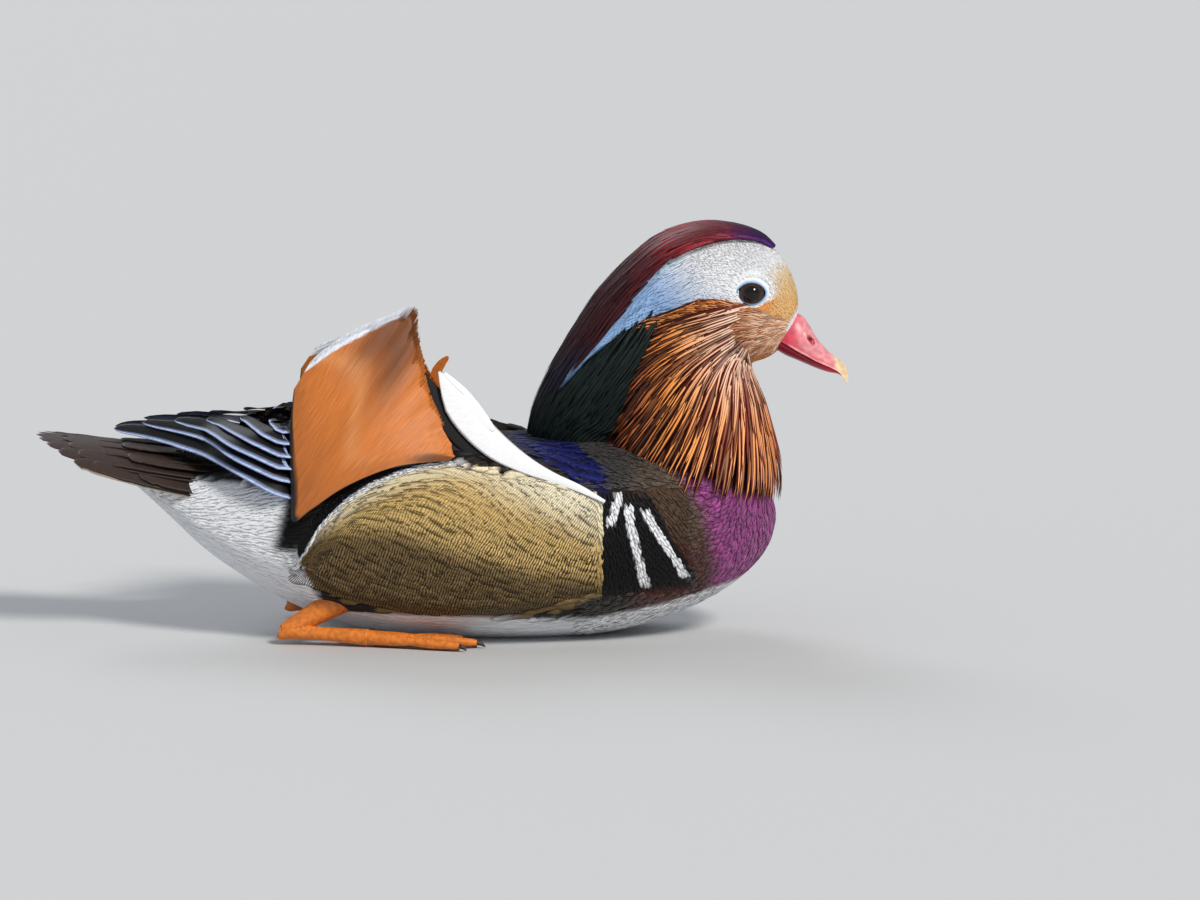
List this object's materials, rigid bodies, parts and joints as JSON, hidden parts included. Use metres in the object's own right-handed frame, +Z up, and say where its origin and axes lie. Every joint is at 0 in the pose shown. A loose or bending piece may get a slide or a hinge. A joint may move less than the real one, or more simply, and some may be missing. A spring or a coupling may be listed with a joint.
{
  "type": "mandarin duck",
  "caption": "Drake mandarin duck sitting on its belly, feet tucked under, with ruff, swept-back crest, raised orange sail feathers and layered wing and tail feathers.",
  "frame": {"origin": "centre of the bounding box at floor level, under the belly's small flat", "axes": "+X towards the bill, +Y to the bird's left, +Z up from the floor it sits on"},
  "size_m": [0.3551, 0.1314, 0.1826],
  "materials": {
    "body_plumage": "soft contour feathers, silky sheen",
    "ruff_hackles": "long narrow hackles with pale shafts",
    "neck_plumage": "short dense feathers under the hackles",
    "crest_plumage": "long silky feathers, glossy, iridescent",
    "flank_feathers": "fine wavy dark lines on buff",
    "flight_feathers": "stiff vanes, satin, pale outer edges",
    "sail_feathers": "broad stiff vanes, satin",
    "tail_feathers": "stiff vanes, matt",
    "bill_horn": "smooth satin horn, pale nail",
    "eye": "wet gloss, dark brown iris round a black pupil",
    "foot_skin": "scaled skin, dusky webs"
  },
  "bodies": {
    "root": {"torso": "body_plumage", "neck": "neck_plumage", "head": "ruff_hackles", "crest": "crest_plumage", "bill_upper": "bill_horn", "bill_lower": "bill_horn", "tail": "tail_feathers", "eye_right": "eye", "flank_right": "flank_feathers", "wing_right": "flight_feathers", "sail_right": "sail_feathers", "leg_right": "foot_skin", "eye_left": "eye", "flank_left": "flank_feathers", "wing_left": "flight_feathers", "sail_left": "sail_feathers", "leg_left": "foot_skin"}
  },
  "joints": []
}
